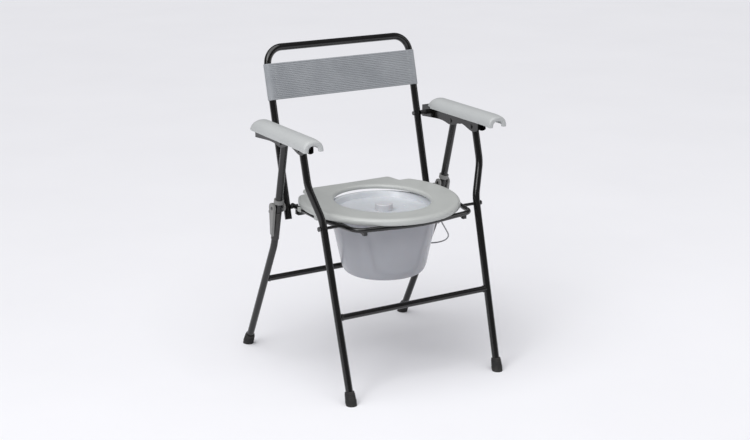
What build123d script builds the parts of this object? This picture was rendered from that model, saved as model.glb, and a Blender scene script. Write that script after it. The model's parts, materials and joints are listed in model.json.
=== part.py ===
"""Folding commode chair: steel tube frame, ribbed back strap, arm pads, ring seat and slide-out pail.

Millimetres. The chair faces -Y, +X is the sitter's left, +Z is up, and the floor is z = 0.
The origin is on the floor at the middle of the four feet.
"""
import os
from math import radians, sin, cos, sqrt

from build123d import *

os.makedirs("parts", exist_ok=True)

# ---------------------------------------------------------------- driving dimensions
TUBE_R = 9.5            # legs and back tube, 19 mm steel tube
TUBE_WALL = 1.2
BAR_R = 8.0             # cross bars
RAIL_R = 6.35           # seat frame, half-inch tube
FIT_GAP = 0.05          # radial clearance of a running fit
SKIN_GAP = 0.3          # clearance between faces of different moving bodies

# legs, as (x, y, z) on the +X side
FRONT_LEG = [(225.0, -264.6, 0.0), (232.9, -137.6, 452.9), (259.8, -113.5, 538.1), (260.3, -84.0, 642.0)]
REAR_LEG = [(254.9, 264.6, 0.0), (255.8, 86.8, 335.4), (259.0, 6.1, 640.0)]
FRONT_BEND_R = 110.0
REAR_BEND_R = 150.0
FERRULE_R, FERRULE_NECK_R, FERRULE_H, FERRULE_SOLE = 14.6, 12.2, 35.0, 5.0
FRONT_BAR_Z, REAR_BAR_Z = 214.0, 222.0

# the fold is a parallelogram: two pivots on the front legs, two on the back tube
PIVOT_SEAT_FRONT = (-141.5, 433.6)
LINK_Y, LINK_Z = 52.9, 196.4            # from the seat's pivots up to the arm's pivots
SEAT_LINK = 222.6                       # from a front pivot back to the rear pivot
PIVOT_SEAT_REAR = (PIVOT_SEAT_FRONT[0] + SEAT_LINK, PIVOT_SEAT_FRONT[1])
PIVOT_ARM_FRONT = (PIVOT_SEAT_FRONT[0] + LINK_Y, PIVOT_SEAT_FRONT[1] + LINK_Z)
PIVOT_ARM_REAR = (PIVOT_SEAT_REAR[0] + LINK_Y, PIVOT_SEAT_REAR[1] + LINK_Z)
PIVOT_REAR_LEG = (9.3, 628.0)
SEAT_ROD_R, BOLT_R = 4.0, 3.0

# back tube: an inverted U in a plane that leans back
BACK_X, BACK_Y0, BACK_Z0, BACK_LEAN = 218.7, 80.9, 430.0, 0.2615
BACK_BOTTOM_Z, BACK_TOP_Z, BACK_CORNER_R = 406.0, 840.0, 45.0
STRAP_LOW_Z, STRAP_HIGH_Z, STRAP_X, STRAP_T = 707.0, 800.5, 230.5, 1.6

# arm rests
ARM_X, CHANNEL_HALF, CHANNEL_WALL, CHANNEL_TOP = 259.6, 13.5, 1.5, 648.0
CHANNEL_FRONT_Y, CHANNEL_REAR_Y = -120.0, 150.0
PAD_X, PAD_HALF, PAD_TOP, PAD_FRONT_Y, PAD_REAR_Y = 274.0, 29.0, 673.0, -175.0, 131.0

# seat frame, seat ring
RAIL_X, RAIL_REAR_Y = 197.0, 90.0
RAIL_TAPER_Y = -80.0                    # the sides run straight to here, then draw in
RAIL_CORNER = (171.0, -203.0)
RAIL_NOSE_Y = -236.0
RAIL_BENDS = [150.0, 30.0, 300.0, 30.0, 150.0]
CLIP_Y = (-50.0, 40.0)
RAIL_Z = PIVOT_SEAT_FRONT[1]
SEAT_LOW_Z, SEAT_TOP_Z, RECESS_Z = 440.0, 457.5, 446.0
SEAT_CENTRE_Y, SEAT_HALF_X, SEAT_HALF_Y = -24.6, 210.0, 227.4
SEAT_SHOULDER_Y, TONGUE_HALF, TONGUE_REAR_Y = 101.0, 136.0, 152.0
HOLE_CENTRE_Y, HOLE_HALF_X, HOLE_HALF_Y = -41.0, 123.3, 139.0
RECESS_HALF_X, RECESS_HALF_Y, RECESS_TONGUE = 186.0, 190.0, 153.0

# pail, lid and bail
PAIL_Y, PAIL_LOW_Z, PAIL_LOW_R, PAIL_RIM_Z, PAIL_RIM_R = -50.0, 263.0, 115.0, 428.0, 143.0
PAIL_WALL, FLANGE_R, FLANGE_T = 2.2, 154.0, 3.7
LID_PLATE_Z, KNOB_R, KNOB_TOP_Z = 427.0, 23.0, 445.2
LID_RIM_R, LID_BEAD_Z, LID_WALL, LID_DISH_R = 150.0, 441.0, 2.0, 128.0
EAR_ANGLE, EAR_Z, BAIL_R, BAIL_REACH, BAIL_DROOP, WIRE_R = -50.0, 410.0, 158.0, 175.0, 38.0, 1.75
EAR_REACH, WIRE_START = 152.0, 143.0
GUIDE_X, GUIDE_R, GUIDE_FRONT_Y, GUIDE_REAR_Y = 149.5, 2.5, -199.0, 82.0
GUIDE_Z = PAIL_RIM_Z - FLANGE_T - SKIN_GAP - GUIDE_R

# latch on the rear leg
LATCH_Z, SLEEVE_LOW_Z, SLEEVE_HIGH_Z, SLEEVE_R = 444.0, 354.0, 432.0, 10.7
SHAFT_R, LEVER_R, LEVER_TAIL_Z = 2.5, 13.5, 366.0

SIDES = {"left": 1, "right": -1}        # the sitter's left is +X


# ---------------------------------------------------------------- helpers
def side(point, sign):
    point = Vector(point)
    return Vector(point.X * sign, point.Y, point.Z)


def along(a, b, z):
    """The point at height z on the line from a to b."""
    a, b = Vector(a), Vector(b)
    return a + (b - a) * ((z - a.Z) / (b.Z - a.Z))


def back_point(x, z):
    return Vector(x, BACK_Y0 + BACK_LEAN * (z - BACK_Z0), z)


def rod(a, b, radius, mode=Mode.ADD):
    """A round bar from a to b, or the hole for one."""
    a, b = Vector(a), Vector(b)
    with BuildSketch(Plane(origin=a, z_dir=b - a)) as section:
        Circle(radius)
    extrude(section.sketch, amount=(b - a).length, mode=mode)


def cross_rod(x0, x1, pivot, radius, mode=Mode.ADD):
    """A round bar along X through a pivot given as (y, z)."""
    rod((x0, *pivot), (x1, *pivot), radius, mode)


def tube(points, bends, radius, wall):
    """A bent tube along the points."""
    points = [Vector(p) for p in points]
    with BuildLine() as path:
        FilletPolyline(*points, radius=bends)
    with BuildSketch(Plane(origin=points[0], z_dir=points[1] - points[0])) as section:
        Circle(radius)
        if wall:
            Circle(radius - wall, mode=Mode.SUBTRACT)
    sweep(section.sketch, path=path.wire())


def cut_below(z):
    with BuildSketch(Plane.XY.offset(z)) as floor:
        Rectangle(1400, 1400)
    extrude(floor.sketch, amount=-60, mode=Mode.SUBTRACT)


def save(builder, name):
    builder.part.label = name
    export_step(builder.part, f"parts/{name}.step")


# ---------------------------------------------------------------- legs and cross bars
def leg(points, bend_radius, pins, name, sign):
    """A leg tube that stands in its ferrule, drilled for its pins [(pivot, radius)]."""
    start = along(points[0], points[1], FERRULE_SOLE)
    with BuildPart() as builder:
        tube([side(start, sign)] + [side(p, sign) for p in points[1:]], bend_radius, TUBE_R, TUBE_WALL)
        for pivot, radius in pins:
            cross_rod(sign * 215, sign * 285, pivot, radius + FIT_GAP, Mode.SUBTRACT)
    save(builder, name)


def ferrule(points, name, sign):
    """A ribbed rubber foot, set along the leg and flat on the floor."""
    foot, knee = side(points[0], sign), side(points[1], sign)
    axis = (knee - foot).normalized()
    with BuildPart() as builder:
        with BuildSketch(Plane(origin=foot - axis * 5, z_dir=axis)) as base:
            Circle(FERRULE_R - 0.6)
        extrude(base.sketch, amount=11)
        rod(foot + axis * 6, foot + axis * 14, FERRULE_R)
        with BuildSketch(Plane(origin=foot + axis * 14, z_dir=axis)) as waist:
            Circle(FERRULE_R - 1.2)
        with BuildSketch(Plane(origin=foot + axis * FERRULE_H, z_dir=axis)) as neck:
            Circle(FERRULE_NECK_R)
        loft([waist.sketch.face(), neck.sketch.face()])
        for ring in range(3):
            rod(foot + axis * (17 + 5 * ring), foot + axis * (19.5 + 5 * ring), FERRULE_R - 0.5 - 0.3 * ring)
        start = along(foot, knee, FERRULE_SOLE)
        rod(start, start + axis * 60, TUBE_R, Mode.SUBTRACT)
        cut_below(0)
    save(builder, name)


def cross_bar(points, z, name):
    """A bar between two legs, its ends shaped round the leg tubes."""
    a, b = Vector(points[0]), Vector(points[1])
    end = along(a, b, z)
    with BuildPart() as builder:
        rod((-end.X, end.Y, z), (end.X, end.Y, z), BAR_R)
        for sign in SIDES.values():
            rod(side(along(a, b, z - 60), sign), side(along(a, b, z + 60), sign), TUBE_R, Mode.SUBTRACT)
    save(builder, name)


latch_leg_point = along(REAR_LEG[1], REAR_LEG[2], LATCH_Z)
LATCH_PIVOT = (latch_leg_point.Y, LATCH_Z)
LATCH_X = latch_leg_point.X

for word, sign in SIDES.items():
    leg(FRONT_LEG, FRONT_BEND_R, [(PIVOT_SEAT_FRONT, SEAT_ROD_R), (PIVOT_ARM_FRONT, BOLT_R)],
        f"front_leg_{word}", sign)
    leg(REAR_LEG, REAR_BEND_R, [(PIVOT_REAR_LEG, BOLT_R), (LATCH_PIVOT, SHAFT_R)],
        f"rear_leg_{word}", sign)
    ferrule(FRONT_LEG, f"front_ferrule_{word}", sign)
    ferrule(REAR_LEG, f"rear_ferrule_{word}", sign)

cross_bar(FRONT_LEG, FRONT_BAR_Z, "front_crossbar")
cross_bar(REAR_LEG, REAR_BAR_Z, "rear_crossbar")


# ---------------------------------------------------------------- back frame
with BuildPart() as back_tube:
    tube([back_point(-BACK_X, BACK_BOTTOM_Z), back_point(-BACK_X, BACK_TOP_Z),
          back_point(BACK_X, BACK_TOP_Z), back_point(BACK_X, BACK_BOTTOM_Z)], BACK_CORNER_R, TUBE_R, TUBE_WALL)
    for sign in SIDES.values():
        cross_rod(sign * 200, sign * 240, PIVOT_SEAT_REAR, BOLT_R + FIT_GAP, Mode.SUBTRACT)
        cross_rod(sign * 200, sign * 240, PIVOT_ARM_REAR, BOLT_R, Mode.SUBTRACT)
save(back_tube, "back_tube")

back_axis = (back_point(0, BACK_TOP_Z) - back_point(0, BACK_BOTTOM_Z)).normalized()
with BuildPart() as back_tube_caps:
    for sign in SIDES.values():
        end = back_point(sign * BACK_X, BACK_BOTTOM_Z)
        rod(end - back_axis * 3, end, TUBE_R)
        rod(end, end + back_axis * 12, TUBE_R - TUBE_WALL)
save(back_tube_caps, "back_tube_caps")

# the strap is a flat sleeve of vinyl stretched round both uprights
back_plane = Plane(origin=back_point(0, BACK_Z0), x_dir=(1, 0, 0), z_dir=(0, -1, BACK_LEAN))
lean_length = sqrt(1 + BACK_LEAN ** 2)
strap_low = (STRAP_LOW_Z - BACK_Z0) * lean_length
strap_high = (STRAP_HIGH_Z - BACK_Z0) * lean_length
with BuildPart() as back_strap:
    with BuildSketch(back_plane) as panel:
        with Locations((0, (strap_low + strap_high) / 2)):
            Rectangle(2 * BACK_X, strap_high - strap_low)
    extrude(panel.sketch, amount=TUBE_R + STRAP_T)
    extrude(panel.sketch, amount=-TUBE_R - STRAP_T)
    with BuildSketch(back_plane) as hollow:
        with Locations((0, (strap_low + strap_high) / 2)):
            Rectangle(2 * BACK_X + 80, strap_high - strap_low + 20)
    extrude(hollow.sketch, amount=TUBE_R, mode=Mode.SUBTRACT)
    extrude(hollow.sketch, amount=-TUBE_R - STRAP_T - 1, mode=Mode.SUBTRACT)
    for sign in SIDES.values():
        low, high = back_point(sign * BACK_X, STRAP_LOW_Z), back_point(sign * BACK_X, STRAP_HIGH_Z)
        rod(low, high, TUBE_R + STRAP_T)
    for sign in SIDES.values():
        low, high = back_point(sign * BACK_X, STRAP_LOW_Z - 10), back_point(sign * BACK_X, STRAP_HIGH_Z + 10)
        rod(low, high, TUBE_R, Mode.SUBTRACT)
save(back_strap, "back_strap")


# ---------------------------------------------------------------- arm rests
def channel_outline():
    """Side view of the pressed channel: flat top, lower edge scalloped round the pivots."""
    front_lobe, leg_lobe = PIVOT_ARM_FRONT[0], PIVOT_REAR_LEG[0]
    with BuildLine() as outline:
        Polyline((CHANNEL_FRONT_Y, 626), (CHANNEL_FRONT_Y, CHANNEL_TOP),
                 (CHANNEL_REAR_Y, CHANNEL_TOP), (CHANNEL_REAR_Y, 616))
        Spline((CHANNEL_REAR_Y, 616), (90, 621), (leg_lobe + 28, 621), (leg_lobe, 617), (leg_lobe - 26, 623),
               (front_lobe + 48, 630), (front_lobe + 18, 624), (front_lobe, 619), (CHANNEL_FRONT_Y, 626))
    return outline


def arm_channel(name, sign):
    """A steel channel, open below, that the leg tops stand in."""
    with BuildPart() as builder:
        outer = Plane.YZ.offset(sign * ARM_X - CHANNEL_HALF)
        with BuildSketch(outer) as profile:
            make_face(channel_outline().edges())
        extrude(profile.sketch, amount=2 * CHANNEL_HALF)
        inside = Plane.YZ.offset(sign * ARM_X - CHANNEL_HALF + CHANNEL_WALL)
        with BuildSketch(inside) as hollow:
            with Locations(((CHANNEL_FRONT_Y + CHANNEL_REAR_Y) / 2, CHANNEL_TOP - CHANNEL_WALL - 40)):
                Rectangle(CHANNEL_REAR_Y - CHANNEL_FRONT_Y + 40, 80)
        extrude(hollow.sketch, amount=2 * (CHANNEL_HALF - CHANNEL_WALL), mode=Mode.SUBTRACT)
        for pivot in (PIVOT_ARM_FRONT, PIVOT_REAR_LEG):
            cross_rod(sign * 240, sign * 280, pivot, BOLT_R, Mode.SUBTRACT)
        cross_rod(sign * 240, sign * 254, PIVOT_ARM_REAR, BOLT_R + FIT_GAP, Mode.SUBTRACT)
        for y in PAD_SCREW_Y:
            rod((sign * ARM_X, y, CHANNEL_TOP - 5), (sign * ARM_X, y, CHANNEL_TOP + 5), 2.5, Mode.SUBTRACT)
    save(builder, name)


PAD_SCREW_Y = (-60.0, 70.0)


def arm_pad(name, sign):
    """A moulded arm pad: a low arch with its front end turned down."""
    with BuildPart() as builder:
        with BuildSketch(Plane.XZ.offset(-PAD_REAR_Y)) as section:
            with BuildLine():
                Polyline((sign * PAD_X - PAD_HALF, 653), (sign * PAD_X - PAD_HALF, CHANNEL_TOP),
                         (sign * PAD_X + PAD_HALF, CHANNEL_TOP), (sign * PAD_X + PAD_HALF, 653))
                ThreePointArc((sign * PAD_X + PAD_HALF, 653), (sign * PAD_X, PAD_TOP),
                              (sign * PAD_X - PAD_HALF, 653))
            make_face()
        extrude(section.sketch, amount=PAD_REAR_Y - PAD_FRONT_Y)
        with BuildSketch(Plane.XZ.offset(-PAD_FRONT_Y - 9)) as nose:
            with Locations((sign * PAD_X, 647)):
                Rectangle(2 * PAD_HALF, 12)
        extrude(nose.sketch, amount=9)
        top_edges = builder.edges().filter_by(Axis.X, reverse=True).group_by(Axis.Y)[0].sort_by(Axis.Z)[-1:]
        fillet(top_edges, 7)
        for y in PAD_SCREW_Y:
            rod((sign * ARM_X, y, CHANNEL_TOP - 1), (sign * ARM_X, y, CHANNEL_TOP + 10), 2.5, Mode.SUBTRACT)
    save(builder, name)


def arm_fittings(word, sign):
    """Pins through the channel, the spacer to the back tube, and the pad's screws."""
    inner, outer = ARM_X - CHANNEL_HALF, ARM_X + CHANNEL_HALF
    with BuildPart() as pins:
        for pivot in (PIVOT_ARM_FRONT, PIVOT_REAR_LEG):
            cross_rod(sign * inner, sign * outer, pivot, BOLT_R)
            cross_rod(sign * (inner - 2.5), sign * inner, pivot, 5.5)
            cross_rod(sign * outer, sign * (outer + 2.5), pivot, 5.5)
    save(pins, f"arm_pins_{word}")
    with BuildPart() as screws:
        for y in PAD_SCREW_Y:
            rod((sign * ARM_X, y, CHANNEL_TOP - CHANNEL_WALL), (sign * ARM_X, y, CHANNEL_TOP + 10), 2.5)
            rod((sign * ARM_X, y, CHANNEL_TOP - CHANNEL_WALL - 2), (sign * ARM_X, y, CHANNEL_TOP - CHANNEL_WALL), 4.5)
    save(screws, f"arm_pad_screws_{word}")


for word, sign in SIDES.items():
    arm_channel(f"arm_channel_{word}", sign)
    arm_pad(f"arm_pad_{word}", sign)
    arm_fittings(word, sign)

# bolts fixed in the back tube, on which the arms turn
with BuildPart() as back_arm_bolts:
    for sign in SIDES.values():
        cross_rod(sign * (BACK_X - TUBE_R), sign * (BACK_X + TUBE_R), PIVOT_ARM_REAR, BOLT_R)
        cross_rod(sign * (BACK_X + TUBE_R), sign * 251.5, PIVOT_ARM_REAR, BOLT_R)
        cross_rod(sign * (BACK_X - TUBE_R - 3.5), sign * (BACK_X - TUBE_R), PIVOT_ARM_REAR, 5.5)
        cross_rod(sign * 248.3, sign * 251.5, PIVOT_ARM_REAR, 5.0)
save(back_arm_bolts, "back_arm_bolts")

with BuildPart() as arm_spacers:
    for sign in SIDES.values():
        cross_rod(sign * (BACK_X + TUBE_R), sign * (ARM_X - CHANNEL_HALF - SKIN_GAP), PIVOT_ARM_REAR, 6.5)
        cross_rod(sign * (BACK_X + TUBE_R - 1), sign * 250, PIVOT_ARM_REAR, BOLT_R, Mode.SUBTRACT)
        rod(back_point(sign * BACK_X, 600), back_point(sign * BACK_X, 660), TUBE_R, Mode.SUBTRACT)
save(arm_spacers, "arm_spacers")


# ---------------------------------------------------------------- seat frame
left_rail = [(-RAIL_X, RAIL_REAR_Y, RAIL_Z), (-RAIL_X, RAIL_TAPER_Y, RAIL_Z),
             (-RAIL_CORNER[0], RAIL_CORNER[1], RAIL_Z)]
rail_points = left_rail + [(0, RAIL_NOSE_Y, RAIL_Z)] + [(-x, y, z) for x, y, z in reversed(left_rail)]


def cut_rail():
    """Cuts the room of the seat frame's bent tube out of the part being built."""
    with BuildLine() as rail_line:
        FilletPolyline(*[Vector(p) for p in rail_points], radius=RAIL_BENDS)
    with BuildSketch(Plane(origin=rail_points[0], z_dir=(0, -1, 0))) as rail_section:
        Circle(RAIL_R)
    sweep(rail_section.sketch, path=rail_line.wire(), mode=Mode.SUBTRACT)


with BuildPart() as seat_frame_tube:
    tube(rail_points, RAIL_BENDS, RAIL_R, TUBE_WALL)
    for sign in SIDES.values():
        cross_rod(sign * (RAIL_X - 12), sign * (RAIL_X + 13), PIVOT_SEAT_REAR, BOLT_R, Mode.SUBTRACT)
save(seat_frame_tube, "seat_frame_tube")

with BuildPart() as seat_frame_caps:
    for sign in SIDES.values():
        rod((sign * RAIL_X, RAIL_REAR_Y, RAIL_Z), (sign * RAIL_X, RAIL_REAR_Y + 2.5, RAIL_Z), RAIL_R)
save(seat_frame_caps, "seat_frame_caps")

# rods welded to the seat frame, turning in the front legs
drawn_in = (RAIL_TAPER_Y - PIVOT_SEAT_FRONT[0]) / (RAIL_TAPER_Y - RAIL_CORNER[1])
rod_start_x = RAIL_X - (RAIL_X - RAIL_CORNER[0]) * drawn_in
leg_at_rod = along(FRONT_LEG[0], FRONT_LEG[1], RAIL_Z)
with BuildPart() as seat_pivot_rods:
    for sign in SIDES.values():
        cross_rod(sign * rod_start_x, sign * (leg_at_rod.X + 15), PIVOT_SEAT_FRONT, SEAT_ROD_R)
    cut_rail()
save(seat_pivot_rods, "seat_pivot_rods")

with BuildPart() as seat_pivot_nuts:
    for sign in SIDES.values():
        start = leg_at_rod.X + TUBE_R + 1.2
        with BuildSketch(Plane(origin=(sign * start, *PIVOT_SEAT_FRONT), z_dir=(sign, 0, 0))) as hexagon:
            RegularPolygon(6.5, 6)
            Circle(SEAT_ROD_R, mode=Mode.SUBTRACT)
        extrude(hexagon.sketch, amount=4.0)
save(seat_pivot_nuts, "seat_pivot_nuts")

with BuildPart() as seat_rear_bolts:
    for sign in SIDES.values():
        cross_rod(sign * (RAIL_X - RAIL_R), sign * 232.5, PIVOT_SEAT_REAR, BOLT_R)
        cross_rod(sign * (RAIL_X - RAIL_R - 3.5), sign * (RAIL_X - RAIL_R), PIVOT_SEAT_REAR, 5.0)
        cross_rod(sign * 229.2, sign * 232.5, PIVOT_SEAT_REAR, 5.5)
save(seat_rear_bolts, "seat_rear_bolts")

with BuildPart() as seat_rear_washers:
    for sign in SIDES.values():
        cross_rod(sign * (RAIL_X + RAIL_R), sign * (BACK_X - TUBE_R - SKIN_GAP), PIVOT_SEAT_REAR, 6.0)
        cross_rod(sign * (RAIL_X + RAIL_R), sign * BACK_X, PIVOT_SEAT_REAR, BOLT_R, Mode.SUBTRACT)
save(seat_rear_washers, "seat_rear_washers")


# ---------------------------------------------------------------- seat ring and its clips
with BuildPart() as seat_ring:
    with BuildSketch(Plane.XY.offset(SEAT_LOW_Z)) as outline:
        with Locations((0, SEAT_CENTRE_Y)):
            Ellipse(SEAT_HALF_X, SEAT_HALF_Y)
        with Locations((0, SEAT_SHOULDER_Y + 100)):
            Rectangle(500, 200, mode=Mode.SUBTRACT)
        with BuildLine():
            Polyline((TONGUE_HALF + 12, SEAT_SHOULDER_Y - 30), (TONGUE_HALF, TONGUE_REAR_Y),
                     (-TONGUE_HALF, TONGUE_REAR_Y), (-TONGUE_HALF - 12, SEAT_SHOULDER_Y - 30), close=True)
        make_face()
        corners = outline.vertices().filter_by_position(Axis.Y, TONGUE_REAR_Y - 1, TONGUE_REAR_Y + 1)
        fillet(corners, 14)
        shoulders = outline.vertices().filter_by_position(Axis.Y, SEAT_SHOULDER_Y - 1, SEAT_SHOULDER_Y + 1)
        fillet(shoulders, 9)
        with Locations((0, HOLE_CENTRE_Y)):
            Ellipse(HOLE_HALF_X, HOLE_HALF_Y, mode=Mode.SUBTRACT)
    extrude(outline.sketch, amount=SEAT_TOP_Z - SEAT_LOW_Z)
    fillet(seat_ring.edges().group_by(Axis.Z)[-1], 6.5)
    # the underside is hollowed inside the rail, and out to the rear, so that the lid's knob slides under it
    with BuildSketch(Plane.XY.offset(SEAT_LOW_Z)) as recess:
        with Locations((0, SEAT_CENTRE_Y)):
            Ellipse(RECESS_HALF_X, RECESS_HALF_Y)
        with Locations((0, SEAT_SHOULDER_Y + 100)):
            Rectangle(500, 200, mode=Mode.SUBTRACT)
        with Locations((0, SEAT_CENTRE_Y + 100)):
            Rectangle(2 * RECESS_TONGUE, 200)
    extrude(recess.sketch, amount=RECESS_Z - SEAT_LOW_Z, mode=Mode.SUBTRACT)
save(seat_ring, "seat_ring")

# the clips hang from the ring and snap round the rail
with BuildPart() as seat_clips:
    for sign in SIDES.values():
        for y in CLIP_Y:
            with BuildSketch(Plane.XY.offset(RAIL_Z - 4)) as block:
                with Locations((sign * RAIL_X, y)):
                    Rectangle(2 * RAIL_R + 5, 14)
            extrude(block.sketch, amount=SEAT_LOW_Z - RAIL_Z + 4)
            rod((sign * RAIL_X, y - 10, RAIL_Z), (sign * RAIL_X, y + 10, RAIL_Z), RAIL_R, Mode.SUBTRACT)
            with BuildSketch(Plane.XY.offset(RAIL_Z - 5)) as mouth:
                with Locations((sign * RAIL_X, y)):
                    Rectangle(2 * RAIL_R - 2, 20)
            extrude(mouth.sketch, amount=4, mode=Mode.SUBTRACT)
save(seat_clips, "seat_clips")


# ---------------------------------------------------------------- pail guides under the seat frame
with BuildPart() as pail_guides:
    for sign in SIDES.values():
        rod((sign * GUIDE_X, GUIDE_FRONT_Y, GUIDE_Z), (sign * GUIDE_X, GUIDE_REAR_Y, GUIDE_Z), GUIDE_R)
save(pail_guides, "pail_guides")

BRACKET_LOW_Z = GUIDE_Z - GUIDE_R - 3
with BuildPart() as guide_brackets:
    for sign in SIDES.values():
        with BuildSketch(Plane.XY.offset(GUIDE_Z - GUIDE_R)) as front_block:
            with Locations((sign * GUIDE_X, GUIDE_FRONT_Y - 5)):
                Rectangle(10, 10)
        extrude(front_block.sketch, amount=RAIL_Z - GUIDE_Z)
        with BuildSketch(Plane.XY.offset(BRACKET_LOW_Z)) as rear_strap:
            with Locations((sign * (GUIDE_X - 4 + RAIL_X + 4) / 2, GUIDE_REAR_Y - 22)):
                Rectangle(RAIL_X - GUIDE_X + 8, 18)
        extrude(rear_strap.sketch, amount=3)
        with BuildSketch(Plane.XY.offset(BRACKET_LOW_Z)) as rear_web:
            with Locations((sign * (RAIL_X + 1), GUIDE_REAR_Y - 22)):
                Rectangle(6, 18)
        extrude(rear_web.sketch, amount=RAIL_Z - BRACKET_LOW_Z)
    cut_rail()
save(guide_brackets, "guide_brackets")


# ---------------------------------------------------------------- pail, lid, knob and bail
def turned(origin_y):
    """The plane for a profile that is revolved about the pail's vertical axis."""
    return Plane(origin=(0, origin_y, 0), x_dir=(1, 0, 0), z_dir=(0, -1, 0))


pail_axis = Axis((0, PAIL_Y, 0), (0, 0, 1))
inner_low, inner_rim = PAIL_LOW_R - PAIL_WALL, PAIL_RIM_R - PAIL_WALL
BASE_CURVE = 22.0
with BuildPart() as pail:
    with BuildSketch(turned(PAIL_Y)) as wall:
        with BuildLine():
            Line((0, PAIL_LOW_Z), (PAIL_LOW_R - BASE_CURVE, PAIL_LOW_Z))
            Spline((PAIL_LOW_R - BASE_CURVE, PAIL_LOW_Z), (PAIL_LOW_R - 3, PAIL_LOW_Z + BASE_CURVE - 6),
                   (PAIL_LOW_R + 2, PAIL_LOW_Z + 36), tangents=[(1, 0), (0.14, 1)])
            Polyline((PAIL_LOW_R + 2, PAIL_LOW_Z + 36), (PAIL_RIM_R, PAIL_RIM_Z - FLANGE_T),
                     (FLANGE_R, PAIL_RIM_Z - FLANGE_T), (FLANGE_R, PAIL_RIM_Z), (inner_rim, PAIL_RIM_Z),
                     (PAIL_LOW_R - 0.2, PAIL_LOW_Z + 36))
            Spline((PAIL_LOW_R - 0.2, PAIL_LOW_Z + 36), (PAIL_LOW_R - 5, PAIL_LOW_Z + BASE_CURVE - 4),
                   (PAIL_LOW_R - BASE_CURVE, PAIL_LOW_Z + PAIL_WALL), tangents=[(-0.14, -1), (-1, 0)])
            Polyline((PAIL_LOW_R - BASE_CURVE, PAIL_LOW_Z + PAIL_WALL), (0, PAIL_LOW_Z + PAIL_WALL),
                     (0, PAIL_LOW_Z))
        make_face()
    revolve(wall.sketch, axis=pail_axis)
save(pail, "pail")

# a flat dish with a hollow raised rim that stands on the pail's flange
BEAD_UNDER_Z = LID_BEAD_Z - LID_WALL
with BuildPart() as pail_lid:
    with BuildSketch(turned(PAIL_Y)) as dish:
        with BuildLine():
            Polyline((0, LID_PLATE_Z), (LID_DISH_R, LID_PLATE_Z), (LID_DISH_R + 6, LID_BEAD_Z - 1.5),
                     (LID_DISH_R + 8.5, LID_BEAD_Z), (LID_RIM_R - 4, LID_BEAD_Z), (LID_RIM_R, LID_BEAD_Z - 3.5),
                     (LID_RIM_R, PAIL_RIM_Z), (LID_RIM_R - LID_WALL, PAIL_RIM_Z),
                     (LID_RIM_R - LID_WALL, BEAD_UNDER_Z - 2), (LID_RIM_R - 4.5, BEAD_UNDER_Z),
                     (LID_DISH_R + 9, BEAD_UNDER_Z), (LID_DISH_R + 7.4, BEAD_UNDER_Z - 0.6),
                     (LID_DISH_R + 2, LID_PLATE_Z - LID_WALL), (0, LID_PLATE_Z - LID_WALL), close=True)
        make_face()
    revolve(dish.sketch, axis=pail_axis)
save(pail_lid, "pail_lid")

with BuildPart() as lid_knob:
    rod((0, PAIL_Y, LID_PLATE_Z), (0, PAIL_Y, KNOB_TOP_Z), KNOB_R)
    fillet(lid_knob.edges().group_by(Axis.Z)[-1], 2.5)
save(lid_knob, "lid_knob")

ear_dir = Vector(cos(radians(EAR_ANGLE)), sin(radians(EAR_ANGLE)), 0)
level_dir = Vector(-ear_dir.Y, ear_dir.X, 0)
droop = radians(BAIL_DROOP)
reach_dir = level_dir * cos(droop) + Vector(0, 0, -sin(droop))
bail_centre = Vector(0, PAIL_Y, EAR_Z)
wall_r_at_ear = PAIL_RIM_R - (PAIL_RIM_R - PAIL_LOW_R - 2) * (PAIL_RIM_Z - FLANGE_T - EAR_Z) / (
    PAIL_RIM_Z - FLANGE_T - PAIL_LOW_Z - 36)
with BuildPart() as bail_ears:
    for sign in SIDES.values():
        start = bail_centre + ear_dir * (sign * (wall_r_at_ear - 0.3))
        rod(start, bail_centre + ear_dir * (sign * EAR_REACH), 6.5)
        rod(start, bail_centre + ear_dir * (sign * (EAR_REACH + 1)), WIRE_R + 0.08, Mode.SUBTRACT)
    with BuildSketch(turned(PAIL_Y)) as body_profile:
        with BuildLine():
            Polyline((0, PAIL_LOW_Z), (PAIL_LOW_R + 2, PAIL_LOW_Z + 36), (PAIL_RIM_R, PAIL_RIM_Z - FLANGE_T),
                     (0, PAIL_RIM_Z - FLANGE_T), close=True)
        make_face()
    revolve(body_profile.sketch, axis=pail_axis, mode=Mode.SUBTRACT)
save(bail_ears, "bail_ears")

with BuildPart() as bail_handle:
    with BuildLine() as wire:
        a = bail_centre + ear_dir * BAIL_R
        b = bail_centre - ear_dir * BAIL_R
        FilletPolyline(bail_centre + ear_dir * WIRE_START, a, a + reach_dir * BAIL_REACH,
                       b + reach_dir * BAIL_REACH, b, bail_centre - ear_dir * WIRE_START,
                       radius=[3.0, 100, 100, 3.0])
    with BuildSketch(Plane(origin=bail_centre + ear_dir * WIRE_START, z_dir=ear_dir)) as wire_section:
        Circle(WIRE_R)
    sweep(wire_section.sketch, path=wire.wire())
save(bail_handle, "bail_handle")


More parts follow.
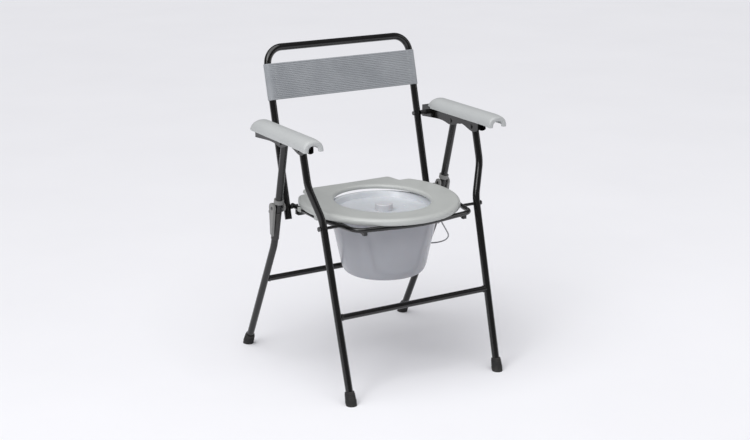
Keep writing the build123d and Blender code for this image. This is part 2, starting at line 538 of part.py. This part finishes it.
# ---------------------------------------------------------------- latch on each rear leg
def latch(word, sign):
    """A hook inboard of the leg and a lever outboard of it, keyed on one shaft."""
    low, knee = side(REAR_LEG[1], sign), side(REAR_LEG[2], sign)
    hub_in, hub_out = LATCH_X - SLEEVE_R, LATCH_X + SLEEVE_R
    with BuildPart() as sleeve:
        rod(along(low, knee, SLEEVE_LOW_Z), along(low, knee, SLEEVE_HIGH_Z), SLEEVE_R)
        rod(along(low, knee, SLEEVE_LOW_Z - 20), along(low, knee, SLEEVE_HIGH_Z + 20), TUBE_R, Mode.SUBTRACT)
    save(sleeve, f"latch_sleeve_{word}")

    with BuildPart() as collar:
        rod(along(low, knee, 457), along(low, knee, 467), SLEEVE_R + 2.3)
        rod(along(low, knee, 440), along(low, knee, 480), TUBE_R, Mode.SUBTRACT)
    save(collar, f"latch_collar_{word}")

    y, z = LATCH_PIVOT
    with BuildPart() as lever:
        with BuildSketch(Plane(origin=(sign * (hub_out + 1), 0, 0), x_dir=(0, 1, 0), z_dir=(1, 0, 0))) as shape:
            with Locations((y + 4, z)):
                Circle(LEVER_R)
            with BuildLine():
                Polyline((y - 9, z), (y + 17, z), (y + 14, LEVER_TAIL_Z + 6), (y + 5, LEVER_TAIL_Z), close=True)
            make_face()
            with Locations((y + 15, z - 12)):
                Circle(5)
            with Locations(LATCH_PIVOT):
                Circle(SHAFT_R, mode=Mode.SUBTRACT)
        extrude(shape.sketch, amount=sign * 7)
        fillet(lever.faces().sort_by(Axis.X)[-1 if sign > 0 else 0].outer_wire().edges(), 1.5)
    save(lever, f"latch_lever_{word}")

    with BuildPart() as hook:
        stud_y, stud_z = PIVOT_SEAT_REAR
        with BuildSketch(Plane(origin=(sign * (hub_in - 1), 0, 0), x_dir=(0, 1, 0), z_dir=(1, 0, 0))) as shape:
            with Locations(LATCH_PIVOT):
                Circle(11)
            with BuildLine():
                Polyline((y - 6, z - 9), (stud_y + 3, stud_z - 15), (stud_y + 10, stud_z - 8),
                         (stud_y - 2, stud_z), (y + 6, z + 9), close=True)
            make_face()
            with Locations((stud_y, stud_z)):
                Circle(6.5, mode=Mode.SUBTRACT)
            with Locations(LATCH_PIVOT):
                Circle(SHAFT_R, mode=Mode.SUBTRACT)
        extrude(shape.sketch, amount=-sign * 5)
    save(hook, f"latch_hook_{word}")

    with BuildPart() as shaft:
        cross_rod(sign * (hub_in - 6), sign * (hub_out + 8), LATCH_PIVOT, SHAFT_R)
        cross_rod(sign * (hub_in - 7.5), sign * (hub_in - 6), LATCH_PIVOT, 4)
        cross_rod(sign * (hub_out + 8), sign * (hub_out + 9.5), LATCH_PIVOT, 4)
    save(shaft, f"latch_shaft_{word}")


for word, sign in SIDES.items():
    latch(word, sign)

# studs screwed on the ends of the rear seat bolts, which the hooks reach under
with BuildPart() as catch_studs:
    for sign in SIDES.values():
        cross_rod(sign * 232.5, sign * 242.5, PIVOT_SEAT_REAR, 4.5)
save(catch_studs, "catch_studs")
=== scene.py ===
"""The finished look of the folding commode chair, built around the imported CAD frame."""
import json
import math

import bmesh
import bpy
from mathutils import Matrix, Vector


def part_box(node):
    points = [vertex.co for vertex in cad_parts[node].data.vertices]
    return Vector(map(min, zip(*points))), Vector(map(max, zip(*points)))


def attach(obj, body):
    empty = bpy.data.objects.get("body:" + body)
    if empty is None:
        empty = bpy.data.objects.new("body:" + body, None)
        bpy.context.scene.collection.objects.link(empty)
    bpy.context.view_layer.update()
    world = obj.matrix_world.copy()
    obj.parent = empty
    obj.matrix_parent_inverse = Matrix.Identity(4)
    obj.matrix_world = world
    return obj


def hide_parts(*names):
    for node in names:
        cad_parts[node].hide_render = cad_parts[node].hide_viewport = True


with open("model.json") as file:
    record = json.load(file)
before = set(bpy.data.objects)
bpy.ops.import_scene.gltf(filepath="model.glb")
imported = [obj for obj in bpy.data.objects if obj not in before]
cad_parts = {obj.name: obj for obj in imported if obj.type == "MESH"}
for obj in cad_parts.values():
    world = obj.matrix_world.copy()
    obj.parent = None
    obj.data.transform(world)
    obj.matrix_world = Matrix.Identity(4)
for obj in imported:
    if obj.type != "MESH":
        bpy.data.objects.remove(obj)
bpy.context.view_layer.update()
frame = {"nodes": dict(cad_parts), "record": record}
nodes = frame["nodes"]
SIDES = {"left": 1, "right": -1}        # the sitter's left is +X
TUBE_R = 0.0095                         # the back tube and the legs


# ---------------------------------------------------------------- node helpers
class Nodes:
    """A small wrapper that keeps a material's node code short."""

    def __init__(self, name):
        self.material = bpy.data.materials.new(name)
        self.material.use_nodes = True
        self.tree = self.material.node_tree
        self.shader = self.tree.nodes["Principled BSDF"]
        self.coords = self.add("ShaderNodeTexCoord").outputs["Object"]

    def add(self, kind):
        return self.tree.nodes.new(kind)

    def link(self, output, target):
        self.tree.links.new(output, target)

    def scaled(self, scale):
        """Object coordinates stretched by (x, y, z)."""
        mapping = self.add("ShaderNodeMapping")
        mapping.inputs["Scale"].default_value = scale
        self.link(self.coords, mapping.inputs["Vector"])
        return mapping.outputs["Vector"]

    def noise(self, scale, detail=4.0, roughness=0.55, coords=None):
        node = self.add("ShaderNodeTexNoise")
        node.inputs["Scale"].default_value = scale
        node.inputs["Detail"].default_value = detail
        node.inputs["Roughness"].default_value = roughness
        self.link(coords or self.coords, node.inputs["Vector"])
        return node.outputs["Fac"]

    def span(self, value, low, high, start=0.3, end=0.7):
        """The value, mapped from start..end to low..high."""
        node = self.add("ShaderNodeMapRange")
        for key, number in (("From Min", start), ("From Max", end), ("To Min", low), ("To Max", high)):
            node.inputs[key].default_value = number
        self.link(value, node.inputs["Value"])
        return node.outputs["Result"]

    def blend_colours(self, factor, first, second):
        node = self.add("ShaderNodeMix")
        node.data_type = "RGBA"
        colours = [s for s in node.inputs if s.type == "RGBA"]
        colours[0].default_value = (*first, 1)
        colours[1].default_value = (*second, 1)
        self.link(factor, node.inputs[0])
        return next(s for s in node.outputs if s.type == "RGBA")

    def bump(self, height, strength, distance, normal=None):
        node = self.add("ShaderNodeBump")
        node.inputs["Strength"].default_value = strength
        node.inputs["Distance"].default_value = distance
        self.link(height, node.inputs["Height"])
        if normal is not None:
            self.link(normal, node.inputs["Normal"])
        return node.outputs["Normal"]

    def finish(self, colour=None, roughness=None, normal=None, **constants):
        for output, socket in ((colour, "Base Color"), (roughness, "Roughness"), (normal, "Normal")):
            if output is not None:
                self.link(output, self.shader.inputs[socket])
        for key, value in constants.items():
            self.shader.inputs[key.replace("_", " ")].default_value = value
        return self.material


# ---------------------------------------------------------------- materials
def enamel():
    """Gloss black stoving enamel: faint orange peel, soft smears and fine dust."""
    n = Nodes("black_enamel")
    smear = n.noise(9.0, 5.0, coords=n.scaled((1.0, 1.0, 0.25)))
    dust = n.noise(900.0, 2.0)
    specks = n.span(dust, 0.0, 0.6, 0.55, 0.8)
    colour = n.blend_colours(specks, (0.0030, 0.0028, 0.0026), (0.012, 0.011, 0.010))
    peel = n.bump(n.noise(420.0, 2.0), 0.10, 0.0004)
    return n.finish(colour, n.span(smear, 0.12, 0.24), peel, Coat_Weight=0.2, Coat_Roughness=0.06)


def plastic(name, light, dark, rough, grain, depth, subsurface):
    """Moulded plastic: fine spark-eroded grain, faint flow marks and slight colour drift."""
    n = Nodes(name)
    drift = n.noise(6.0, 3.0)
    flow = n.noise(24.0, 4.0, coords=n.scaled((1.0, 0.4, 1.0)))
    colour = n.blend_colours(n.span(drift, 0.0, 1.0), dark, light)
    fine = n.bump(n.noise(grain, 3.0), depth, 0.0003)
    wavy = n.bump(flow, 0.06, 0.002, fine)
    extras = {"Subsurface_Weight": subsurface} if subsurface else {}
    return n.finish(colour, n.span(flow, *rough), wavy, **extras)


def rubber():
    n = Nodes("ferrule_rubber")
    bloom = n.noise(60.0, 6.0)
    greyed = n.span(bloom, 0.0, 1.0, 0.45, 0.75)
    colour = n.blend_colours(greyed, (0.010, 0.010, 0.010), (0.040, 0.038, 0.036))
    return n.finish(colour, n.span(bloom, 0.55, 0.80), n.bump(n.noise(700.0, 4.0), 0.35, 0.0005))


def vinyl():
    """Grey vinyl-coated cloth: a fine woven grain under the moulded ribs."""
    n = Nodes("strap_vinyl")
    weave = n.add("ShaderNodeTexWave")
    weave.bands_direction = "X"
    weave.inputs["Scale"].default_value = 260.0
    weave.inputs["Distortion"].default_value = 0.6
    n.link(n.coords, weave.inputs["Vector"])
    drift = n.noise(14.0, 4.0)
    colour = n.blend_colours(n.span(drift, 0.0, 1.0), (0.27, 0.285, 0.305), (0.33, 0.345, 0.365))
    cloth = n.bump(weave.outputs["Fac"], 0.12, 0.0004)
    skin = n.bump(n.noise(900.0, 3.0), 0.18, 0.0004, cloth)
    return n.finish(colour, n.span(drift, 0.42, 0.56), skin, Sheen_Weight=0.15)


def thread():
    n = Nodes("thread")
    twist = n.noise(1500.0, 2.0, coords=n.scaled((1.0, 1.0, 3.0)))
    colour = n.blend_colours(n.span(twist, 0.0, 1.0), (0.48, 0.49, 0.50), (0.62, 0.63, 0.64))
    return n.finish(colour, n.span(twist, 0.6, 0.8), n.bump(twist, 0.3, 0.0004), Sheen_Weight=0.3)


def steel(name, light, dark, rough, grain):
    """Drawn or plated steel with fine lengthways lines."""
    n = Nodes(name)
    lines = n.noise(grain, 3.0, coords=n.scaled((1.0, 1.0, 0.15)))
    wear = n.noise(80.0, 5.0)
    colour = n.blend_colours(n.span(wear, 0.0, 1.0), dark, light)
    return n.finish(colour, n.span(lines, *rough), n.bump(lines, 0.12, 0.0003), Metallic=1.0)


# light colour, dark colour, roughness from and to, scale of the grain, depth of the grain, light let in
PLASTICS = {
    "black_plastic": ((0.020, 0.020, 0.021), (0.012, 0.012, 0.012), (0.40, 0.55), 900.0, 0.20, 0.0),
    "sleeve_plastic": ((0.040, 0.038, 0.036), (0.026, 0.025, 0.024), (0.36, 0.50), 1100.0, 0.10, 0.0),
    "latch_plastic": ((0.24, 0.24, 0.235), (0.19, 0.19, 0.185), (0.34, 0.48), 800.0, 0.20, 0.0),
    "pad_plastic": ((0.50, 0.515, 0.515), (0.45, 0.465, 0.465), (0.34, 0.46), 700.0, 0.22, 0.0),
    "seat_plastic": ((0.50, 0.515, 0.50), (0.455, 0.47, 0.458), (0.28, 0.40), 900.0, 0.10, 0.0),
    "pail_plastic": ((0.40, 0.40, 0.43), (0.36, 0.36, 0.39), (0.14, 0.22), 300.0, 0.03, 0.05),
    "lid_plastic": ((0.62, 0.63, 0.66), (0.58, 0.59, 0.62), (0.18, 0.28), 300.0, 0.04, 0.05),
}
MATERIALS = {name: plastic(name, *look) for name, look in PLASTICS.items()}
MATERIALS["black_enamel"] = enamel()
MATERIALS["ferrule_rubber"] = rubber()
MATERIALS["strap_vinyl"] = vinyl()
MATERIALS["wire_steel"] = steel("wire_steel", (0.30, 0.30, 0.31), (0.20, 0.20, 0.21), (0.22, 0.38), 700.0)
MATERIALS["dark_steel"] = steel("dark_steel", (0.16, 0.16, 0.16), (0.07, 0.07, 0.07), (0.22, 0.40), 500.0)
THREAD = thread()


# ---------------------------------------------------------------- mesh helpers
SMOOTH_ANGLE = math.radians(60)         # edges that turn by less are shaded as one surface


def new_piece(name, build, body, slot, material=None):
    """Makes a mesh object with build(bm), shades it, gives it its material and lets it ride on a body."""
    mesh = bpy.data.meshes.new(name)
    piece = bpy.data.objects.new(name, mesh)
    bpy.context.scene.collection.objects.link(piece)
    bm = bmesh.new()
    build(bm)
    bmesh.ops.recalc_face_normals(bm, faces=bm.faces)
    for face in bm.faces:
        face.smooth = True
    for edge in bm.edges:
        edge.smooth = len(edge.link_faces) != 2 or edge.calc_face_angle(0.0) < SMOOTH_ANGLE
    bm.to_mesh(mesh)
    bm.free()
    mesh.materials.append(material or MATERIALS[slot])
    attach(piece, body)
    return piece


def join_rings(bm, first, second):
    count = len(first)
    for i in range(count):
        j = (i + 1) % count
        bm.faces.new((first[i], first[j], second[j], second[i]))


def skin(bm, rings):
    """Joins rings of points into a skin and caps the first and the last."""
    rows = [[bm.verts.new(p) for p in ring] for ring in rings]
    for first, second in zip(rows, rows[1:]):
        join_rings(bm, first, second)
    bm.faces.new(rows[0][::-1])
    bm.faces.new(rows[-1])


def torus_loop(bm, rings):
    """As skin, but the last ring joins the first."""
    rows = [[bm.verts.new(p) for p in ring] for ring in rings]
    for first, second in zip(rows, rows[1:] + rows[:1]):
        join_rings(bm, first, second)


def circle_at(centre, u, v, radius, count):
    return [centre + (u * math.cos(t) + v * math.sin(t)) * radius
            for t in (2 * math.pi * i / count for i in range(count))]


# ---------------------------------------------------------------- materials of the CAD nodes
for entry in frame["record"]["subparts"]:
    node = nodes[entry["node"]]
    node.data.materials.clear()
    node.data.materials.append(MATERIALS[entry["material_slot"]])


# ---------------------------------------------------------------- back strap
tube_low, tube_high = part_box("back_tube")
tube_x = (tube_high.x - tube_low.x) / 2 - TUBE_R
LEAN = 0.2615                           # how far the back tube leans back for each unit of height
BACK_Y0, BACK_Z0 = 0.0809, 0.430
STRAP_Z0, STRAP_Z1 = 0.7075, 0.8000
STRAP_SHEET, STRAP_GAP, STRAP_SAG = 0.0014, 0.0005, 0.0022
WRAP = 205                              # degrees that the sheet turns round each tube
WRAP_STEPS, PANEL_STEPS = 21, 61
RIB_COUNT, RIB_STEPS, RIB_DEPTH, SLEEVE_RIB_SHARE = 20, 10, 0.0013, 0.35
up = Vector((0, LEAN, 1)).normalized()
out = Vector((0, -1, LEAN)).normalized()
strap_length = (STRAP_Z1 - STRAP_Z0) / up.z
strap_foot = Vector((0, BACK_Y0 + LEAN * (STRAP_Z0 - BACK_Z0), STRAP_Z0))
wrap_radius = TUBE_R + STRAP_GAP + STRAP_SHEET / 2


def sag_at(x):
    return STRAP_SAG * (1 - (x / tube_x) ** 2)


def strap_section():
    """Plan of the sheet as (x, outward) pairs: round one tube, across the front and round the other."""
    points = []
    for k in range(WRAP_STEPS + 1):
        turn = math.radians(-WRAP + WRAP * k / WRAP_STEPS)
        points.append((-tube_x + wrap_radius * math.sin(turn), wrap_radius * math.cos(turn)))
    for k in range(1, PANEL_STEPS):
        x = -tube_x + 2 * tube_x * k / PANEL_STEPS
        points.append((x, wrap_radius - sag_at(x)))
    for k in range(WRAP_STEPS + 1):
        turn = math.radians(WRAP * k / WRAP_STEPS)
        points.append((tube_x + wrap_radius * math.sin(turn), wrap_radius * math.cos(turn)))
    return points


def rib_depth(v, x):
    """How far the face stands out at share v of the strap's height."""
    rib = abs(math.sin(math.pi * v * RIB_COUNT)) ** 0.6
    edge = min(1.0, min(v, 1 - v) * 60)
    flat = min(1.0, (tube_x - abs(x)) / 0.004) if abs(x) < tube_x else 0.0
    return RIB_DEPTH * rib * edge * (SLEEVE_RIB_SHARE + (1 - SLEEVE_RIB_SHARE) * flat)


def strap_body(bm):
    plan = strap_section()
    steps = RIB_COUNT * RIB_STEPS
    rings = []
    for step in range(steps + 1):
        v = step / steps
        base = strap_foot + up * (strap_length * v)
        outer, inner = [], []
        for i, (x, o) in enumerate(plan):
            before, after = plan[max(i - 1, 0)], plan[min(i + 1, len(plan) - 1)]
            along_x, along_o = after[0] - before[0], after[1] - before[1]
            size = math.hypot(along_x, along_o)
            normal = Vector((-along_o / size, 0, 0)) + out * (along_x / size)
            middle = base + Vector((x, 0, 0)) + out * o
            outer.append(middle + normal * (STRAP_SHEET / 2 + rib_depth(v, x)))
            inner.append(middle - normal * (STRAP_SHEET / 2))
        rings.append(outer + inner[::-1])
    skin(bm, rings)


strap = new_piece("strap_cover", strap_body, "back_frame", "strap_vinyl")
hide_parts("back_strap")


STITCH_ROWS, STITCH_COUNT, STITCH_R = (0.0125, 0.0155), 26, 0.00055
# one stitch, as (place along it, share of its radius)
STITCH_SHAPE = ((-1, 0.15), (-0.8, 0.8), (0, 1.0), (0.8, 0.8), (1, 0.15))


def strap_stitches(bm):
    """Two rows of lock stitches that close each sleeve."""
    half = strap_length / STITCH_COUNT * 0.34
    rise = TUBE_R + STRAP_GAP + STRAP_SHEET + 0.0008
    for sign in SIDES.values():
        for row in STITCH_ROWS:
            x = sign * (tube_x - row)
            for k in range(STITCH_COUNT):
                foot = strap_foot + up * (strap_length * (k + 0.5) / STITCH_COUNT)
                middle = foot + Vector((x, 0, 0)) + out * (rise - sag_at(x))
                rings = []
                for t, share in STITCH_SHAPE:
                    centre = middle + up * (half * t) - out * (0.0006 * t * t)
                    rings.append(circle_at(centre, Vector((1, 0, 0)), out, STITCH_R * share, 6))
                skin(bm, rings)


stitches = new_piece("strap_stitches", strap_stitches, "back_frame", "strap_vinyl", material=THREAD)


# ---------------------------------------------------------------- arm pads
pad_low, pad_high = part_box("arm_pad_left")
PAD_FRONT, PAD_REAR = pad_low.y + 0.001, pad_high.y - 0.001
PAD_CENTRE, PAD_HALF = (pad_low.x + pad_high.x) / 2, (pad_high.x - pad_low.x) / 2 - 0.0006
PAD_FLOOR, PAD_TOP, PAD_WALL = 0.6440, pad_high.z - 0.0004, 0.0042
REAR_ROUND, NOSE = 0.030, 0.030         # lengths of the rounded rear end and of the drooping front end
ARCH_STEPS = 32


def pad_arc(sign, y, inset, narrow=0.0):
    """One arch of the pad at y: inset in from the outer skin, narrowed further on the front wall."""
    from_rear = min(1.0, max(0.0, (PAD_REAR - y) / REAR_ROUND))
    rounded = math.sqrt(1 - (1 - from_rear) ** 2)
    nose = max(0.0, 1 - (y - PAD_FRONT) / NOSE)
    width = (PAD_HALF - inset) * (0.78 + 0.22 * rounded) - narrow
    height = (PAD_TOP - PAD_FLOOR - inset) * (0.10 + 0.90 * rounded) - 0.0045 * nose ** 2 - 0.85 * narrow
    droop = 0.0030 * nose ** 2
    points = []
    for i in range(ARCH_STEPS + 1):
        turn = math.pi * i / ARCH_STEPS
        c, s = math.cos(turn), math.sin(turn)
        points.append(Vector((sign * PAD_CENTRE + width * math.copysign(abs(c) ** 0.85, c),
                              y, PAD_FLOOR + height * s ** 0.9 - droop * (1 - s) ** 2)))
    return points


# where the arches stand, and the front wall's arches as (distance from the front, narrowing)
pad_stations = [PAD_REAR - d for d in (0.0, 0.0008, 0.003, 0.007, 0.013, 0.021, REAR_ROUND)]
body_length = PAD_REAR - REAR_ROUND - PAD_FRONT - 0.036
pad_stations += [PAD_REAR - REAR_ROUND - body_length * k / 10 for k in range(1, 11)]
pad_stations += [PAD_FRONT + d for d in (0.027, 0.018, 0.011, 0.006)]
PAD_FRONT_WALL = ((0.0030, 0.0006), (0.0012, 0.0019), (0.0002, 0.0042), (0.0, 0.0080), (0.0006, 0.0120),
                  (0.0025, 0.0140), (0.0060, 0.0140))


def arm_pad(sign):
    def build(bm):
        outer = [pad_arc(sign, y, 0.0) for y in pad_stations]
        wall = [pad_arc(sign, PAD_FRONT + d, 0.0, narrow) for d, narrow in PAD_FRONT_WALL]
        inner = [pad_arc(sign, min(y, PAD_REAR - PAD_WALL), PAD_WALL) for y in pad_stations[:-1]]
        inner.append(pad_arc(sign, PAD_FRONT + 0.0065, PAD_WALL, 0.0090))
        rows = [[bm.verts.new(p) for p in arc] for arc in outer + wall + inner[::-1]]
        for first, second in zip(rows, rows[1:] + rows[:1]):
            for i in range(ARCH_STEPS):
                bm.faces.new((first[i], first[i + 1], second[i + 1], second[i]))
        last = len(pad_stations) - 1
        for i in (0, ARCH_STEPS):       # the two lower rims
            for k in range(last):
                bm.faces.new((rows[k][i], rows[k + 1][i], rows[-2 - k][i], rows[-1 - k][i]))
            bm.faces.new([rows[k][i] for k in range(last, last + len(wall) + 2)])
    return build


for word, sign in SIDES.items():
    pad = new_piece(f"arm_pad_shell_{word}", arm_pad(sign), f"arm_{word}", "pad_plastic")
    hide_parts(f"arm_pad_{word}")


# ---------------------------------------------------------------- seat ring
ring_low, ring_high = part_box("seat_ring")
HOLE_Y, HOLE_X_HALF, HOLE_Y_HALF = -0.041, 0.1233, 0.139
RING_Y, RING_X_HALF, RING_Y_HALF = -0.0246, 0.210, 0.2274
SHOULDER_Y, TONGUE_HALF, TONGUE_FLARE = 0.101, 0.136, 0.012
RECESS, RECESS_X_HALF, RECESS_Y_HALF, RECESS_TONGUE = 0.0061, 0.186, 0.190, 0.153
INNER_ROLL, OUTER_ROLL, SEAT_STEPS = 0.0078, 0.0105, 480


def inside_seat(x, y):
    """Whether a point is in the seat's outline."""
    x = abs(x)
    if y <= SHOULDER_Y and (x / RING_X_HALF) ** 2 + ((y - RING_Y) / RING_Y_HALF) ** 2 <= 1:
        return True
    side = TONGUE_HALF + TONGUE_FLARE * (ring_high.y - y) / (ring_high.y - SHOULDER_Y + 0.03)
    return 0.0 < y <= ring_high.y and x <= side


def inside_recess(x, y):
    """Whether a point is over the hollow of the seat's underside."""
    if y > RING_Y and abs(x) <= RECESS_TONGUE:
        return True
    return y <= SHOULDER_Y and (x / RECESS_X_HALF) ** 2 + ((y - RING_Y) / RECESS_Y_HALF) ** 2 <= 1


def reach_in(angle, inside):
    """How far a shape goes from the middle of the hole in one direction, by halving."""
    low, high = 0.05, 0.40
    for _ in range(24):
        middle = (low + high) / 2
        if inside(middle * math.cos(angle), HOLE_Y + middle * math.sin(angle)):
            low = middle
        else:
            high = middle
    return low


def seat_top(bm):
    angles = [2 * math.pi * i / SEAT_STEPS for i in range(SEAT_STEPS)]
    reach = [reach_in(a, inside_seat) for a in angles]
    for _ in range(3):      # rounds the outline's corners
        reach = [(before + 2 * here + after) / 4
                 for before, here, after in zip(reach[-1:] + reach[:-1], reach, reach[1:] + reach[:1])]
    floor, thick = ring_low.z + 0.0002, ring_high.z - ring_low.z - 0.0003
    rings = []
    for angle, edge in zip(angles, reach):
        c, s = math.cos(angle), math.sin(angle)
        hole = 1 / math.hypot(c / HOLE_X_HALF, s / HOLE_Y_HALF)
        hollow = reach_in(angle, inside_recess)
        base = RECESS if hollow > edge - 0.006 else 0.0
        hollow = min(hollow, edge - 0.006)
        profile = [(hole + 0.0012, RECESS)]
        for t in range(7):
            turn = math.radians(15 * t)
            across, down = INNER_ROLL * (1 - math.cos(turn)), INNER_ROLL * (1 - math.sin(turn))
            profile.append((hole + across, thick - down))
        for t in (0.30, 0.45, 0.60, 0.75):
            profile.append((hole + (edge - hole) * t, thick - 0.0006 * math.sin(math.pi * t)))
        for t in range(7):
            turn = math.radians(90 - 15 * t)
            across, down = OUTER_ROLL * (1 - math.cos(turn)), OUTER_ROLL * (1 - math.sin(turn))
            profile.append((edge - across, thick - down))
        profile += [(edge - 0.0004, base + 0.0016), (edge - 0.0020, base), (hollow + 0.0010, base),
                    (hollow, RECESS)]
        rings.append([Vector((r * c, HOLE_Y + r * s, floor + z)) for r, z in profile])
    torus_loop(bm, rings)


seat = new_piece("seat_moulding", seat_top, "seat_frame", "seat_plastic")
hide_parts("seat_ring")


# ---------------------------------------------------------------- weld beads where the bars meet the legs
WELD_INSET, WELD_R, WELD_RIPPLE, WELD_STEPS = 0.0085, 0.0014, 0.0003, 40


def weld(name, body, bar_node):
    """A raised bead round each end of a cross bar."""
    low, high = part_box(bar_node)
    bar_r = (high.z - low.z) / 2
    middle = (low + high) / 2

    def build(bm):
        for sign in SIDES.values():
            rings = []
            for i in range(WELD_STEPS):
                turn = 2 * math.pi * i / WELD_STEPS
                radial = Vector((0, math.cos(turn), math.sin(turn)))
                saddle = TUBE_R - math.sqrt(TUBE_R ** 2 - (bar_r * radial.y) ** 2)
                x = sign * (high.x - WELD_INSET + 0.9 * saddle)
                centre = Vector((x, middle.y, middle.z)) + radial * bar_r
                bead_r = WELD_R + WELD_RIPPLE * math.sin(9 * turn)
                rings.append(circle_at(centre, radial, Vector((1, 0, 0)), bead_r, 8))
            torus_loop(bm, rings)
    return new_piece(name, build, body, "black_enamel")


weld("front_bar_welds", "front_frame", "front_crossbar")
weld("rear_bar_welds", "rear_frame", "rear_crossbar")


# ---------------------------------------------------------------- stage, light and camera
FLOOR_HALF = 14.0


def stage_floor():
    mesh = bpy.data.meshes.new("studio_floor")
    floor = bpy.data.objects.new("studio_floor", mesh)
    bpy.context.scene.collection.objects.link(floor)
    bm = bmesh.new()
    bmesh.ops.create_grid(bm, x_segments=2, y_segments=2, size=FLOOR_HALF)
    bm.to_mesh(mesh)
    bm.free()
    n = Nodes("studio_paper")
    colour = n.blend_colours(n.span(n.noise(1.5), 0.0, 1.0), (0.87, 0.87, 0.90), (0.89, 0.89, 0.92))
    mesh.materials.append(n.finish(colour, Roughness=0.7))


stage_floor()


CHAIR_MIDDLE = Vector((0, 0, 0.45))


def area_light(name, place, size, power):
    """A soft box that faces the middle of the chair."""
    light = bpy.data.lights.new(name, "AREA")
    light.shape = "RECTANGLE"
    light.size, light.size_y = size
    light.energy = power
    lamp = bpy.data.objects.new(name, light)
    bpy.context.scene.collection.objects.link(lamp)
    lamp.location = place
    lamp.rotation_euler = (CHAIR_MIDDLE - Vector(place)).to_track_quat("-Z", "Y").to_euler()


area_light("key_softbox", (-2.4, -1.2, 2.6), (0.9, 2.2), 24)
area_light("fill_softbox", (2.6, -1.8, 1.8), (0.7, 2.0), 8)

sky = bpy.data.lights.new("overhead_cloth", "SUN")
sky.energy = 2.6
sky.angle = math.radians(75)
overhead = bpy.data.objects.new("overhead_cloth", sky)
bpy.context.scene.collection.objects.link(overhead)
overhead.rotation_euler = (math.radians(14), math.radians(-20), 0)

world = bpy.data.worlds.new("studio")
bpy.context.scene.world = world
world.use_nodes = True
world.node_tree.nodes["Background"].inputs["Color"].default_value = (0.93, 0.93, 0.98, 1)
world.node_tree.nodes["Background"].inputs["Strength"].default_value = 0.20

# the camera stands in front of the chair, to its right, and looks down a little
CAMERA_PLACE = Vector((-1.900, -3.1766, 1.463))
CAMERA_TURN, CAMERA_TILT = math.radians(30.95), math.radians(16.22)
look = Vector((math.sin(CAMERA_TURN) * math.cos(CAMERA_TILT),
               math.cos(CAMERA_TURN) * math.cos(CAMERA_TILT), -math.sin(CAMERA_TILT)))
camera_data = bpy.data.cameras.new("camera")
camera_data.lens = 69.23
camera_data.sensor_width = 36.0
camera_data.shift_x = -0.001
camera = bpy.data.objects.new("camera", camera_data)
bpy.context.scene.collection.objects.link(camera)
camera.location = CAMERA_PLACE
camera.rotation_euler = look.to_track_quat("-Z", "Y").to_euler()
bpy.context.scene.camera = camera

bpy.context.scene.view_settings.view_transform = "Standard"
